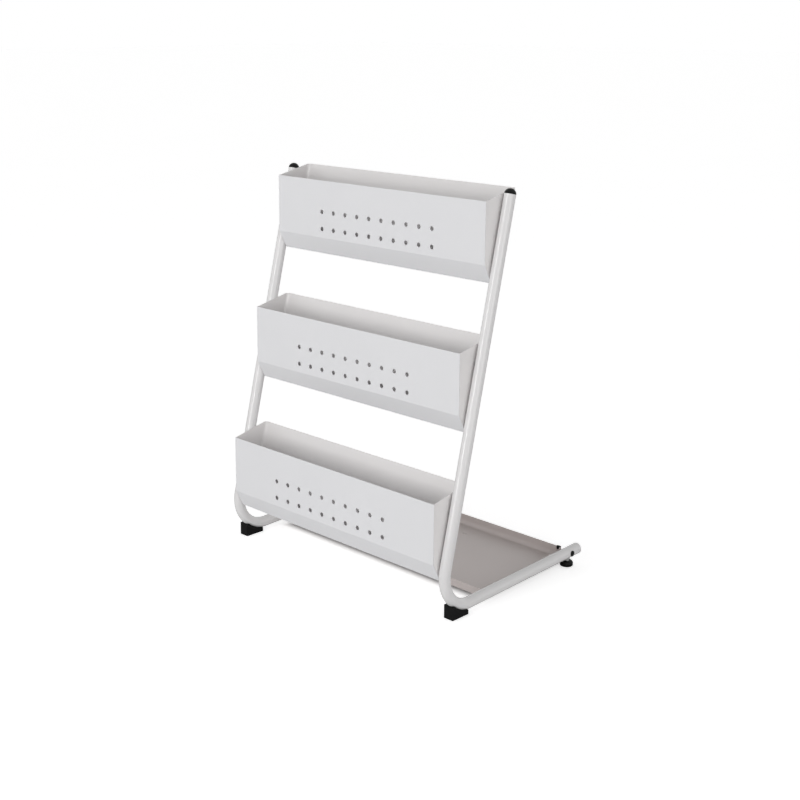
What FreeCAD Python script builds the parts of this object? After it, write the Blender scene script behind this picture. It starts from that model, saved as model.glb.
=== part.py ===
import FreeCAD, Part
import math
import os
import re
import Sketcher

# A free-standing periodical rack: two bent tubes stand side by side, three open sheet-metal
# pockets hang between them one above the other, and a shallow tray ties the legs together.
# Millimetres, +Z up, front towards -Y. The origin is the middle of the footprint, on the floor.

SIZES = [
    # the rack as a whole
    ("overall_depth", 384.4, "front of the bottom pocket to the tip of the legs"),
    ("tube_spacing", 526, "between the axes of the two side tubes"),
    ("corner_height", 12.5, "where the axes of the upright and the leg cross, above the floor"),
    ("lean_angle", 13.5, "degrees the uprights lean back"),
    ("leg_rise", 1.8, "degrees the legs rise towards the back"),
    # side tubes
    ("tube_diameter", 20, "outside"),
    ("tube_wall", 1.5, "wall thickness"),
    ("bend_radius", 60, "of the tube's axis"),
    ("upright_length", 704.5, "along the axis, from the crossing point to the open top"),
    # pockets
    ("sheet_thickness", 1.2, "of every sheet-metal piece"),
    ("rivet_flange", 1, "thickness, which is also the gap between a tube and a side panel"),
    ("lowest_level", 197.5, "crossing of the axes to the level of the bottom pocket's front edge"),
    ("pocket_drop", 9, "top of the upright to the level of the top pocket's front edge"),
    ("front_reach", 45.9, "front panel to the tube's axis, at the front panel's top edge"),
    ("back_reach", 27.8, "tube's axis to the outer face of the back panel"),
    ("front_height", 104.8, "plumb part of the front panel"),
    ("chamfer_run", 16.7, "how far the slanted band runs back"),
    ("chamfer_drop", 32.5, "how far the slanted band drops"),
    ("side_rise", 15.4, "back panel's top edge above the front panel's"),
    ("back_bend", 6, "outer radius of the bends between side and back panels"),
    ("floor_lap", 12, "overlap of the front piece's lip and the pocket floor"),
    # perforation of the front panels
    ("hole_columns", 10, "number of holes across"),
    ("hole_rows", 2, "number of rows"),
    ("hole_pitch", 30, "between columns"),
    ("row_pitch", 31.5, "between rows"),
    ("hole_drop", 57.3, "top edge to the first row"),
    ("hole_diameter", 8, "of each perforation"),
    # screws and rivet nuts
    ("screw_drop", 25, "along the upright, from the pocket's level to its first screw"),
    ("screw_gap", 80, "between the two screws on one side of a pocket"),
    ("screw_diameter", 5, "thread of the pocket and tray screws"),
    ("screw_length", 12, "under the head"),
    ("screw_head", 9, "diameter of the button head"),
    ("head_height", 2.6, "of the button head"),
    ("key_radius", 1.7, "circumscribed radius of the hexagon socket"),
    ("key_depth", 1.5, "of the hexagon socket"),
    ("rivet_diameter", 7, "body of a rivet nut"),
    ("rivet_head", 10, "flange of a rivet nut"),
    ("rivet_length", 10.5, "flange included"),
    ("running_gap", 0.05, "radial play round screws and pins"),
    ("panel_play", 0.25, "radial play of the holes that screws pass through"),
    # tray between the legs
    ("tray_length", 227, "front to back"),
    ("tray_setback", 32, "back of the tray to the end of the tube"),
    ("flange_height", 15, "side and front flanges"),
    ("rear_height", 19, "rear flange"),
    ("tray_bend", 9, "outer radius of the fold at the rear flange"),
    ("tray_screw_inset", 35, "ends of the tray to its screws"),
    ("drain_hole", 3.4, "diameter of the small holes near the tray's rear edge"),
    ("drain_pitch", 7, "between the two holes of a pair"),
    ("drain_reach", 53.5, "middle of the tray to the middle of a pair"),
    ("drain_inset", 40, "rear edge of the tray to the pairs"),
    ("edge_clip_width", 8, "black clip on the rear flange"),
    ("edge_clip_drop", 6, "how far the clip reaches down"),
    ("edge_clip_wall", 1, "thickness of the clip"),
    # plugs and end caps
    ("plug_depth", 16, "top plug's stem in the tube"),
    ("plug_rim", 1.5, "top plug's rim"),
    ("plug_dome", 8, "top plug's dome"),
    ("cap_depth", 12, "leg cap's stem in the tube"),
    ("cap_dome", 5, "leg cap's dome"),
    ("button_diameter", 10.5, "head of the plug on the outside of a leg"),
    ("button_height", 1.2, "how far that head stands out"),
    ("button_stem", 6, "diameter of its stem"),
    ("button_depth", 4, "length of its stem"),
    ("button_setback", 26.5, "end of the tube to that plug"),
    # feet
    ("foot_front", 50, "centre of the bend to the front foot's front face"),
    ("foot_rear", 10, "centre of the bend to the front foot's rear face"),
    ("foot_tall", 24, "front foot's front height"),
    ("cradle_lip", 2.5, "how far the front foot wraps up the sides of the tube"),
    ("foot_screw_reach", 20, "centre of the bend to the front foot's screw"),
    ("foot_screw_diameter", 4, "thread of that screw"),
    ("foot_screw_head", 8, "diameter of its countersunk head"),
    ("foot_screw_length", 12, "head included"),
    ("foot_screw_recess", 1.2, "floor to its head"),
    ("glide_setback", 30.5, "end of the tube to the rear foot's stud"),
    ("glide_diameter", 24, "rear foot"),
    ("glide_height", 9.5, "rear foot"),
    ("glide_base_edge", 2, "rounding of the rear foot's lower edge"),
    ("glide_top_edge", 4, "rounding of the rear foot's upper edge"),
    ("stud_diameter", 8, "threaded stud of the rear foot"),
    ("stud_length", 23, "of which part is moulded into the foot"),
    ("stud_seat", 3.5, "bottom of the foot to the end of the stud"),
    ("boss_diameter", 12, "threaded boss welded into the tube"),
    ("boss_height", 7.5, "of the boss"),
    ("boss_stand", 0.8, "how far the boss stands out below the tube"),
]

doc = FreeCAD.newDocument("PeriodicalRack")
sheet = doc.addObject("Spreadsheet::Sheet", "Sizes")
for row, (alias, value, note) in enumerate(SIZES, start=1):
    sheet.set(f"A{row}", alias)
    sheet.set(f"B{row}", str(value))
    sheet.set(f"C{row}", note)
    sheet.setAlias(f"B{row}", alias)
doc.recompute()

kept = []


def sized(text):
    """Point every size that an expression names at its cell of the sheet."""
    return re.sub(r"[a-z]+(?:_[a-z]+)+", lambda word: "Sizes." + word.group(), text)


def bind(thing, prop, text):
    thing.setExpression(prop, sized(text))


def measure(text):
    """The present value of an expression."""
    return float(sheet.evalExpression(text))


def keep(thing, label):
    """Name a finished piece; it becomes a node of the same name."""
    thing.Label = label
    kept.append(thing)


# Places that several pieces share, worked out from the sizes

TURN = "(90 + lean_angle + leg_rise)"
TANGENT = f"(bend_radius * tan({TURN} / 2))"
CORNER_Y = "(front_reach - overall_depth / 2 - lowest_level * sin(lean_angle))"
LEG_RUN = f"((overall_depth / 2 - {CORNER_Y}) / cos(leg_rise) - cap_dome)"
SIDE_X = "(tube_spacing / 2)"
INNER_X = f"({SIDE_X} - tube_diameter / 2)"
PANEL_X = f"({INNER_X} - rivet_flange)"
BORE = "(tube_diameter - 2 * tube_wall)"
CHAMFER = "atan(chamfer_run / chamfer_drop)"
POCKET_FOOT = "(0 - front_height - chamfer_drop)"
TRAY_FRONT = f"({LEG_RUN} - tray_setback - tray_length)"
BEND_Y = f"({CORNER_Y} + {TANGENT} * cos(leg_rise) - bend_radius * sin(leg_rise))"
BEND_Z = f"(corner_height + {TANGENT} * sin(leg_rise) + bend_radius * cos(leg_rise))"
GLIDE_Y = f"({CORNER_Y} + ({LEG_RUN} - glide_setback) * cos(leg_rise))"
GLIDE_AXIS_Z = f"(corner_height + ({LEG_RUN} - glide_setback) * sin(leg_rise))"
BOSS_Z = f"({GLIDE_AXIS_Z} - tube_diameter / 2 - boss_stand)"
FOOT_SCREW_Y = f"({BEND_Y} - foot_screw_reach)"
BUTTON_RUN = f"({LEG_RUN} - button_setback)"
POCKETS = ["top", "middle", "bottom"]
SPACING = f"((upright_length - pocket_drop - lowest_level) / {len(POCKETS) - 1})"


def pocket_level(index):
    """Distance from the crossing of the axes, up the upright, to a pocket's front edge level."""
    return f"(upright_length - pocket_drop - {index} * {SPACING})"


def pocket_screw_levels(index):
    level = pocket_level(index)
    return [f"({level} - screw_drop)", f"({level} - screw_drop - screw_gap)"]


# Where the tray's screws go along the legs
TRAY_SCREW_RUNS = [
    f"({TRAY_FRONT} + tray_screw_inset)",
    f"({LEG_RUN} - tray_setback - tray_screw_inset)",
]


def turn_and_place(thing, angle, way, x, y, z):
    """Turn a thing about X by an angle, one way or the other, and bind its place."""
    rotation = FreeCAD.Rotation(FreeCAD.Vector(way, 0, 0), 1)
    thing.Placement = FreeCAD.Placement(FreeCAD.Vector(), rotation)
    bind(thing, "Placement.Rotation.Angle", angle)
    for prop, text in (("x", x), ("y", y), ("z", z)):
        bind(thing, f"Placement.Base.{prop}", text)


def place_on_leg(thing, x="0", along="0", off="0"):
    """Leg frame: Y runs back along the leg's axis and Z stands square to it."""
    y = f"{CORNER_Y} + ({along}) * cos(leg_rise) - ({off}) * sin(leg_rise)"
    z = f"corner_height + ({along}) * sin(leg_rise) + ({off}) * cos(leg_rise)"
    turn_and_place(thing, "leg_rise", 1, x, y, z)


def place_on_upright(thing, x="0", along="0"):
    """Upright frame: Z runs up along the upright's axis."""
    y = f"{CORNER_Y} + ({along}) * sin(lean_angle)"
    z = f"corner_height + ({along}) * cos(lean_angle)"
    turn_and_place(thing, "lean_angle", -1, x, y, z)


def place_pocket(thing, index):
    """A pocket hangs plumb, its front panel's top edge at the origin of its own frame."""
    y = f"({pocket_level(index)} - lowest_level) * sin(lean_angle) - overall_depth / 2"
    z = f"corner_height + {pocket_level(index)} * cos(lean_angle)"
    bind(thing, "Placement.Base.y", y)
    bind(thing, "Placement.Base.z", z)


# Sketches and features

NEAR = 0.01  # how close a middle point must lie to count as being in a plane


def new_body(name):
    return doc.addObject("PartDesign::Body", name)


def new_sketch(body, name, plane):
    sketch = body.newObject("Sketcher::SketchObject", name)
    support = next(item for item in body.Origin.OriginFeatures if item.Role == plane)
    sketch.AttachmentSupport = [(support, "")]
    sketch.MapMode = "FlatFace"
    return sketch


def constrain(sketch, kind, items, value, text):
    index = sketch.addConstraint(Sketcher.Constraint(kind, *items, value))
    bind(sketch, f"Constraints[{index}]", text)


def pin_point(sketch, geometry, end, across, up):
    """Hold a sketch point by its two distances from the sketch's origin."""
    constrain(sketch, "DistanceX", (-1, 1, geometry, end), measure(across), across)
    constrain(sketch, "DistanceY", (-1, 1, geometry, end), measure(up), up)


def draw_outline(sketch, corners):
    """A closed outline of straight lines through corners given as pairs of expressions."""
    points = [FreeCAD.Vector(measure(across), measure(up), 0) for across, up in corners]
    following = points[1:] + points[:1]
    for start, end in zip(points, following):
        sketch.addGeometry(Part.LineSegment(start, end), False)
    for index in range(len(points)):
        joined = (index + 1) % len(points)
        sketch.addConstraint(Sketcher.Constraint("Coincident", index, 2, joined, 1))
    for index, (across, up) in enumerate(corners):
        pin_point(sketch, index, 1, across, up)


def draw_circle(sketch, across, up, diameter):
    centre = FreeCAD.Vector(measure(across), measure(up), 0)
    circle = Part.Circle(centre, FreeCAD.Vector(0, 0, 1), measure(diameter) / 2)
    index = sketch.addGeometry(circle, False)
    pin_point(sketch, index, 3, across, up)
    constrain(sketch, "Diameter", (index,), measure(diameter), diameter)


def add_pad(body, sketch, length, side="Symmetric"):
    pad = body.newObject("PartDesign::Pad", "Pad")
    pad.Profile = sketch
    pad.SideType = side
    bind(pad, "Length", length)
    doc.recompute()
    return pad


def add_pocket(body, sketch, length):
    """Cut a sketch evenly to both sides of its plane, and make sure that it takes metal away."""
    before = body.Shape.Volume
    pocket = body.newObject("PartDesign::Pocket", "Cut")
    pocket.Profile = sketch
    pocket.SideType = "Symmetric"
    bind(pocket, "Length", length)
    doc.recompute()
    if not body.Shape.Volume < before:
        raise RuntimeError(f"a cut in {body.Name} takes nothing away")
    return pocket


def add_fillet(body, feature, is_bend, radius):
    """Round the edges of a feature whose middle points pass a test."""
    edges = enumerate(feature.Shape.Edges, start=1)
    names = [f"Edge{index}" for index, edge in edges if is_bend(edge.CenterOfMass)]
    fillet = body.newObject("PartDesign::Fillet", "Bend")
    fillet.Base = (feature, names)
    bind(fillet, "Radius", radius)
    doc.recompute()
    return fillet


def add_thickness(body, feature, is_open, wall):
    """Hollow a feature to a wall, open at the faces whose middle points pass a test."""
    faces = enumerate(feature.Shape.Faces, start=1)
    names = [f"Face{index}" for index, face in faces if is_open(face.CenterOfMass)]
    shell = body.newObject("PartDesign::Thickness", "Sheet")
    shell.Base = (feature, names)
    shell.Reversed = True
    shell.Join = "Intersection"
    bind(shell, "Value", wall)
    doc.recompute()
    return shell


# Plain solids and booleans

AXIS_TURNS = {
    "x": FreeCAD.Rotation(FreeCAD.Vector(0, 1, 0), 90),
    "y": FreeCAD.Rotation(FreeCAD.Vector(1, 0, 0), -90),
    "z": FreeCAD.Rotation(),
}


def place_solid(solid, x="0", y="0", z="0", axis="z"):
    """Turn a solid's own axis along X, Y or Z and bind its place."""
    solid.Placement = FreeCAD.Placement(FreeCAD.Vector(), AXIS_TURNS[axis])
    for prop, text in (("x", x), ("y", y), ("z", z)):
        bind(solid, f"Placement.Base.{prop}", text)


def cylinder(name, diameter, height, **place):
    solid = doc.addObject("Part::Cylinder", name)
    bind(solid, "Radius", f"({diameter}) / 2")
    bind(solid, "Height", height)
    place_solid(solid, **place)
    return solid


def group(name, pieces):
    compound = doc.addObject("Part::Compound", name)
    compound.Links = pieces
    return compound


def fuse(name, pieces):
    joined = doc.addObject("Part::MultiFuse", name)
    joined.Shapes = pieces
    return joined


def cut(name, base, tool):
    result = doc.addObject("Part::Cut", name)
    result.Base = base
    result.Tool = tool
    return result


def mirror(source, name):
    """The same piece on the other side of the rack."""
    copy = doc.addObject("Part::Mirroring", name)
    copy.Source = source
    copy.Base = FreeCAD.Vector(0, 0, 0)
    copy.Normal = FreeCAD.Vector(1, 0, 0)
    return copy


def keep_pair(piece, label):
    """Keep a piece of the right-hand side and its mirror image."""
    keep(piece, f"right_{label}")
    keep(mirror(piece, f"Left{piece.Name}"), f"left_{label}")


# Side frames: one tube each, bent once into upright and leg

def make_tube():
    """The bent tube in the leg frame: the leg lies along Y and the upright goes up."""
    body = new_body("Tube")
    path = new_sketch(body, "TubePath", "YZ_Plane")
    run = measure(LEG_RUN)
    tangent = measure(TANGENT)
    radius = measure("bend_radius")
    length = measure("upright_length")
    lean = math.radians(measure("lean_angle + leg_rise"))
    upward = FreeCAD.Vector(math.sin(lean), math.cos(lean), 0)
    centre = FreeCAD.Vector(tangent, radius, 0)
    circle = Part.Circle(centre, FreeCAD.Vector(0, 0, 1), radius)
    leg_line = Part.LineSegment(FreeCAD.Vector(run, 0, 0), FreeCAD.Vector(tangent, 0, 0))
    leg = path.addGeometry(leg_line, False)
    bend = path.addGeometry(Part.ArcOfCircle(circle, math.pi - lean, 1.5 * math.pi), False)
    upright = path.addGeometry(Part.LineSegment(upward * tangent, upward * length), False)
    path.addConstraint(Sketcher.Constraint("PointOnObject", leg, 1, -1))
    path.addConstraint(Sketcher.Constraint("PointOnObject", leg, 2, -1))
    path.addConstraint(Sketcher.Constraint("Tangent", leg, 2, bend, 2))
    path.addConstraint(Sketcher.Constraint("Tangent", bend, 1, upright, 1))
    path.addConstraint(Sketcher.Constraint("PointOnObject", -1, 1, upright))
    constrain(path, "DistanceX", (-1, 1, leg, 1), run, LEG_RUN)
    constrain(path, "Radius", (bend,), radius, "bend_radius")
    constrain(path, "Angle", (upright,), math.pi / 2 - lean, "(90 - lean_angle - leg_rise) * 1 deg")
    constrain(path, "Distance", (-1, 1, upright, 2), length, "upright_length")
    ring = new_sketch(body, "TubeRing", "XZ_Plane")
    bind(ring, "AttachmentOffset.Base.z", f"0 - {LEG_RUN}")
    draw_circle(ring, "0", "0", "tube_diameter")
    draw_circle(ring, "0", "0", BORE)
    doc.recompute()
    pipe = body.newObject("PartDesign::AdditivePipe", "Pipe")
    pipe.Profile = ring
    pipe.Spine = (path, ["Edge1", "Edge2", "Edge3"])
    doc.recompute()
    place_on_leg(body, x=SIDE_X)
    return body


def make_side_frames():
    """Both tubes, drilled for rivet nuts, side plug, boss and the front foot's screw."""
    nut_hole = "rivet_diameter + 2 * running_gap"
    depth = "rivet_flange + 2 * tube_wall"
    levels = [level for index in range(len(POCKETS)) for level in pocket_screw_levels(index)]
    upright_holes = group("UprightHoles", [
        cylinder("UprightHole", nut_hole, depth, x=PANEL_X, z=level, axis="x")
        for level in levels
    ])
    place_on_upright(upright_holes)
    button_hole = cylinder(
        "ButtonHole", "button_stem + 2 * running_gap", "button_depth + button_height",
        x=f"{SIDE_X} + tube_diameter / 2 - button_depth", y=BUTTON_RUN, axis="x")
    leg_holes = group("LegHoles", [button_hole] + [
        cylinder("LegHole", nut_hole, depth, x=PANEL_X, y=run, axis="x")
        for run in TRAY_SCREW_RUNS
    ])
    place_on_leg(leg_holes)
    boss_hole = cylinder("BossHole", "boss_diameter + 2 * running_gap", "tube_diameter / 2 + boss_stand",
                         x=SIDE_X, y=GLIDE_Y, z=BOSS_Z)
    foot_hole = cylinder("FootScrewHole", "foot_screw_diameter + 2 * running_gap", "tube_diameter",
                         x=SIDE_X, y=FOOT_SCREW_Y)
    holes = group("FrameHoles", [upright_holes, leg_holes, boss_hole, foot_hole])
    keep_pair(cut("SideFrame", make_tube(), holes), "side_frame")


# Pockets

def back_face(height):
    """Y of the back panel's outer face at a height in the pocket."""
    return f"(front_reach + back_reach / cos(lean_angle) + {height} * tan(lean_angle))"


def make_pocket_shell(name, index):
    """Side panels, rounded back corners, back panel and floor, bent from one sheet."""
    body = new_body(f"{name.title()}Shell")
    floor = f"({POCKET_FOOT} + sheet_thickness)"
    band_foot = f"(chamfer_run + sheet_thickness * tan(45 deg - {CHAMFER} / 2))"
    profile = new_sketch(body, "ShellProfile", "YZ_Plane")
    draw_outline(profile, [
        ("sheet_thickness", "0"),
        (back_face("side_rise"), "side_rise"),
        (back_face(floor), floor),
        (band_foot, floor),
        ("sheet_thickness", f"sheet_thickness * tan({CHAMFER} / 2) - front_height"),
    ])
    block = add_pad(body, profile, f"2 * {PANEL_X}")
    half_width = measure(PANEL_X)
    ground = measure(floor)
    back = (measure(back_face(floor)) + measure(back_face("side_rise"))) / 2

    def at_back_corner(point):
        return abs(abs(point.x) - half_width) < NEAR and abs(point.y - back) < NEAR

    def at_mouth(point):
        in_front = point.y < measure(band_foot) and point.z > ground + NEAR
        return abs(point.x) < NEAR and (point.z > -NEAR or in_front)

    rounded = add_fillet(body, block, at_back_corner, "back_bend")
    add_thickness(body, rounded, at_mouth, "sheet_thickness")
    screw_holes = new_sketch(body, "ScrewHoles", "YZ_Plane")
    for along in ("screw_drop", "(screw_drop + screw_gap)"):
        draw_circle(screw_holes, f"front_reach - {along} * sin(lean_angle)",
                    f"0 - {along} * cos(lean_angle)", "screw_diameter + 2 * panel_play")
    add_pocket(body, screw_holes, f"2 * {SIDE_X}")
    place_pocket(body, index)
    keep(body, f"{name}_pocket_shell")


def make_pocket_front(name, index):
    """Front panel with its rows of round holes, slanted band and lip under the pocket floor."""
    body = new_body(f"{name.title()}Front")
    profile = new_sketch(body, "FrontProfile", "YZ_Plane")
    lip = f"chamfer_run + sheet_thickness * tan(45 deg - {CHAMFER} / 2)"
    draw_outline(profile, [
        ("0", "0"),
        ("0", "0 - front_height"),
        ("chamfer_run", POCKET_FOOT),
        ("chamfer_run + floor_lap", POCKET_FOOT),
        ("chamfer_run + floor_lap", f"{POCKET_FOOT} + sheet_thickness"),
        (lip, f"{POCKET_FOOT} + sheet_thickness"),
        ("sheet_thickness", f"sheet_thickness * tan({CHAMFER} / 2) - front_height"),
        ("sheet_thickness", "0"),
    ])
    add_pad(body, profile, f"2 * {PANEL_X}")
    first_hole = new_sketch(body, "FirstHole", "XZ_Plane")
    draw_circle(first_hole, "0 - (hole_columns - 1) * hole_pitch / 2", "0 - hole_drop", "hole_diameter")
    punched = add_pocket(body, first_hole, "3 * sheet_thickness")
    pattern = body.newObject("PartDesign::LinearPattern", "Perforation")
    pattern.Originals = [punched]
    pattern.Direction = (first_hole, ["H_Axis"])
    pattern.Direction2 = (first_hole, ["V_Axis"])
    pattern.Reversed2 = True
    bind(pattern, "Length", "(hole_columns - 1) * hole_pitch")
    bind(pattern, "Occurrences", "hole_columns")
    bind(pattern, "Length2", "(hole_rows - 1) * row_pitch")
    bind(pattern, "Occurrences2", "hole_rows")
    body.Tip = pattern
    place_pocket(body, index)
    keep(body, f"{name}_pocket_front")


# Tray between the legs

def make_tray():
    """Pan with low side and front flanges and a taller rear flange, in the leg frame."""
    body = new_body("Tray")
    profile = new_sketch(body, "TrayProfile", "YZ_Plane")
    step = "(rear_height - flange_height)"
    draw_outline(profile, [
        ("0", "0"),
        ("tray_length", "0"),
        ("tray_length", "rear_height"),
        (f"tray_length - {step}", "rear_height"),
        (f"tray_length - 2 * {step}", "flange_height"),
        ("0", "flange_height"),
    ])
    pan = add_pad(body, profile, f"2 * {PANEL_X}")
    length = measure("tray_length")

    def at_rear_fold(point):
        return abs(point.y - length) < NEAR and abs(point.z) < NEAR

    folded = add_fillet(body, pan, at_rear_fold, "tray_bend")
    rim = measure("flange_height") - NEAR
    add_thickness(body, folded, lambda point: abs(point.x) < NEAR and point.z > rim, "sheet_thickness")
    screw_holes = new_sketch(body, "ScrewHoles", "YZ_Plane")
    for run in TRAY_SCREW_RUNS:
        draw_circle(screw_holes, f"{run} - {TRAY_FRONT}", "tube_diameter / 2",
                    "screw_diameter + 2 * panel_play")
    add_pocket(body, screw_holes, f"2 * {SIDE_X}")
    drain_holes = new_sketch(body, "DrainHoles", "XY_Plane")
    for reach in ("(drain_reach - drain_pitch / 2)", "(drain_reach + drain_pitch / 2)"):
        for across in (reach, f"0 - {reach}"):
            draw_circle(drain_holes, across, "tray_length - drain_inset", "drain_hole")
    add_pocket(body, drain_holes, "3 * sheet_thickness")
    place_on_leg(body, along=TRAY_FRONT, off="0 - tube_diameter / 2")
    keep(body, "base_tray")


def make_edge_clips():
    """Black clips pushed over the rear flange at its two ends."""
    outer = doc.addObject("Part::Box", "ClipBlock")
    slot = doc.addObject("Part::Box", "ClipSlot")
    inner_x = f"({PANEL_X} - sheet_thickness - edge_clip_width)"
    bind(outer, "Length", "edge_clip_width")
    bind(outer, "Width", "sheet_thickness + 2 * edge_clip_wall")
    bind(outer, "Height", "edge_clip_drop + edge_clip_wall")
    bind(slot, "Length", "edge_clip_width")
    bind(slot, "Width", "sheet_thickness")
    bind(slot, "Height", "edge_clip_drop")
    bind(slot, "Placement.Base.y", "edge_clip_wall")
    clip = cut("EdgeClip", outer, slot)
    place_on_leg(clip, x=inner_x,
                 along=f"{LEG_RUN} - tray_setback - sheet_thickness - edge_clip_wall",
                 off="rear_height - tube_diameter / 2 - edge_clip_drop")
    keep_pair(clip, "tray_edge_clip")


# Screws and rivet nuts

def make_screw(x, y, z):
    """Button-head screw along X with a hexagon socket; x is the face under its head."""
    head = cylinder("ScrewHead", "screw_head", "head_height", x=f"{x} - head_height", y=y, z=z, axis="x")
    shank = cylinder("ScrewShank", "screw_diameter", "screw_length", x=x, y=y, z=z, axis="x")
    key = doc.addObject("Part::Prism", "ScrewKey")
    key.Polygon = 6
    bind(key, "Circumradius", "key_radius")
    bind(key, "Height", "key_depth")
    place_solid(key, x=f"{x} - head_height", y=y, z=z, axis="x")
    return cut("Screw", fuse("ScrewBlank", [head, shank]), key)


def make_rivet_nut(y, z):
    """Flanged nut set in the tube's inner wall, with its thread running through."""
    flange = cylinder("NutFlange", "rivet_head", "rivet_flange", x=PANEL_X, y=y, z=z, axis="x")
    shank = cylinder("NutBody", "rivet_diameter", "rivet_length", x=PANEL_X, y=y, z=z, axis="x")
    thread = cylinder("NutThread", "screw_diameter + 2 * running_gap", "rivet_length",
                      x=PANEL_X, y=y, z=z, axis="x")
    return cut("RivetNut", fuse("NutBlank", [flange, shank]), thread)


def make_fasteners():
    """Screws grouped by what they hold, rivet nuts by the tube that they sit in."""
    face = f"({PANEL_X} - sheet_thickness)"
    for index, name in enumerate(POCKETS):
        screws = group("SideScrews", [make_screw(face, "0", level) for level in pocket_screw_levels(index)])
        place_on_upright(screws)
        keep(group("PocketScrews", [screws, mirror(screws, "OtherSideScrews")]), f"{name}_pocket_screws")
    tray_screws = group("SideTrayScrews", [make_screw(face, run, "0") for run in TRAY_SCREW_RUNS])
    place_on_leg(tray_screws)
    keep(group("TrayScrews", [tray_screws, mirror(tray_screws, "OtherSideTrayScrews")]), "tray_screws")
    levels = [level for index in range(len(POCKETS)) for level in pocket_screw_levels(index)]
    upright_nuts = group("UprightNuts", [make_rivet_nut("0", level) for level in levels])
    place_on_upright(upright_nuts)
    leg_nuts = group("LegNuts", [make_rivet_nut(run, "0") for run in TRAY_SCREW_RUNS])
    place_on_leg(leg_nuts)
    keep_pair(group("RivetNuts", [upright_nuts, leg_nuts]), "rivet_nuts")


# Plugs and caps in the tubes' ends

def make_dome(name, height, start):
    """Spherical cap as wide as the tube, standing on the level where it starts."""
    half = "(tube_diameter / 2)"
    radius = f"(({half} * {half} + {height} * {height}) / (2 * {height}))"
    dome = doc.addObject("Part::Sphere", name)
    bind(dome, "Radius", radius)
    bind(dome, "Angle1", f"asin(({radius} - {height}) / {radius})")
    place_solid(dome, z=f"{start} + {height} - {radius}")
    return dome


def make_tube_ends():
    """Black domed plugs in the uprights' tops and painted domed caps in the legs' ends."""
    stem = f"{BORE} - 2 * running_gap"
    plug = fuse("TopPlug", [
        cylinder("PlugStem", stem, "plug_depth + plug_rim", z="0 - plug_depth"),
        cylinder("PlugRim", "tube_diameter", "plug_rim"),
        make_dome("PlugDome", "plug_dome", "plug_rim"),
    ])
    place_on_upright(plug, x=SIDE_X, along="upright_length")
    keep_pair(plug, "top_plug")
    cap = fuse("LegCap", [
        cylinder("CapStem", stem, "cap_depth", z="0 - cap_depth"),
        make_dome("CapDome", "cap_dome", "0"),
    ])
    end_y = f"{CORNER_Y} + {LEG_RUN} * cos(leg_rise)"
    end_z = f"corner_height + {LEG_RUN} * sin(leg_rise)"
    turn_and_place(cap, "90 - leg_rise", -1, SIDE_X, end_y, end_z)
    keep_pair(cap, "leg_cap")


def make_side_plugs():
    """Black push-in plug in the outer wall of a leg, its head hollowed to fit the tube."""
    wall = f"({SIDE_X} + tube_diameter / 2)"
    seat = f"({SIDE_X} + sqrt(tube_diameter * tube_diameter - button_diameter * button_diameter) / 2)"
    head = cylinder("ButtonHead", "button_diameter", f"{wall} + button_height - {seat}",
                    x=seat, y=BUTTON_RUN, axis="x")
    leg = cylinder("ButtonSeat", "tube_diameter + 2 * running_gap", "2 * button_diameter",
                   x=SIDE_X, y=f"{BUTTON_RUN} - button_diameter", axis="y")
    stem = cylinder("ButtonStem", "button_stem", "button_depth + button_height / 2",
                    x=f"{wall} - button_depth", y=BUTTON_RUN, axis="x")
    button = fuse("SidePlug", [cut("ButtonCap", head, leg), stem])
    place_on_leg(button)
    keep_pair(button, "leg_side_plug")


# Feet

def make_front_feet():
    """Black wedge under the bend, hollowed to cradle the tube and screwed up into it."""
    body = new_body("FootBlock")
    profile = new_sketch(body, "FootProfile", "YZ_Plane")
    draw_outline(profile, [
        ("0 - foot_front", "0"),
        ("0 - foot_rear", "0"),
        ("0 - foot_rear", "foot_tall"),
        ("0 - foot_front", "foot_tall"),
    ])
    add_pad(body, profile, "tube_diameter")
    bind(body, "Placement.Base.x", SIDE_X)
    bind(body, "Placement.Base.y", BEND_Y)
    bend = doc.addObject("Part::Torus", "FootCradle")
    bind(bend, "Radius1", "bend_radius")
    bind(bend, "Radius2", "tube_diameter / 2 + running_gap")
    place_solid(bend, x=SIDE_X, y=BEND_Y, z=BEND_Z, axis="x")
    rim = cylinder("CradleRim", "2 * bend_radius + tube_diameter - 2 * cradle_lip", "2 * tube_diameter",
                   x=f"{SIDE_X} - tube_diameter", y=BEND_Y, z=BEND_Z, axis="x")
    at_screw = {"x": SIDE_X, "y": FOOT_SCREW_Y}
    sink = "((foot_screw_head - foot_screw_diameter) / 2)"
    play = "2 * running_gap"
    well = cylinder("ScrewWell", f"foot_screw_head + {play}", "foot_screw_recess", **at_screw)
    bore = cylinder("ScrewBore", f"foot_screw_diameter + {play}", "foot_tall", **at_screw)
    seat = make_cone("ScrewSeat", f"foot_screw_head + {play}", f"foot_screw_diameter + {play}", sink, at_screw)
    keep_pair(cut("FrontFoot", body, group("FootHoles", [bend, rim, well, bore, seat])), "front_foot")
    head = make_cone("FootScrewHead", "foot_screw_head", "foot_screw_diameter", sink, at_screw)
    shank = cylinder("FootScrewShank", "foot_screw_diameter", "foot_screw_length",
                     z="foot_screw_recess", **at_screw)
    keep_pair(fuse("FootScrew", [head, shank]), "front_foot_screw")


def make_cone(name, bottom, top, height, place):
    """Countersink shape that stands on the level of the recessed screw head."""
    cone = doc.addObject("Part::Cone", name)
    bind(cone, "Radius1", f"({bottom}) / 2")
    bind(cone, "Radius2", f"({top}) / 2")
    bind(cone, "Height", height)
    place_solid(cone, z="foot_screw_recess", **place)
    return cone


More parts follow.
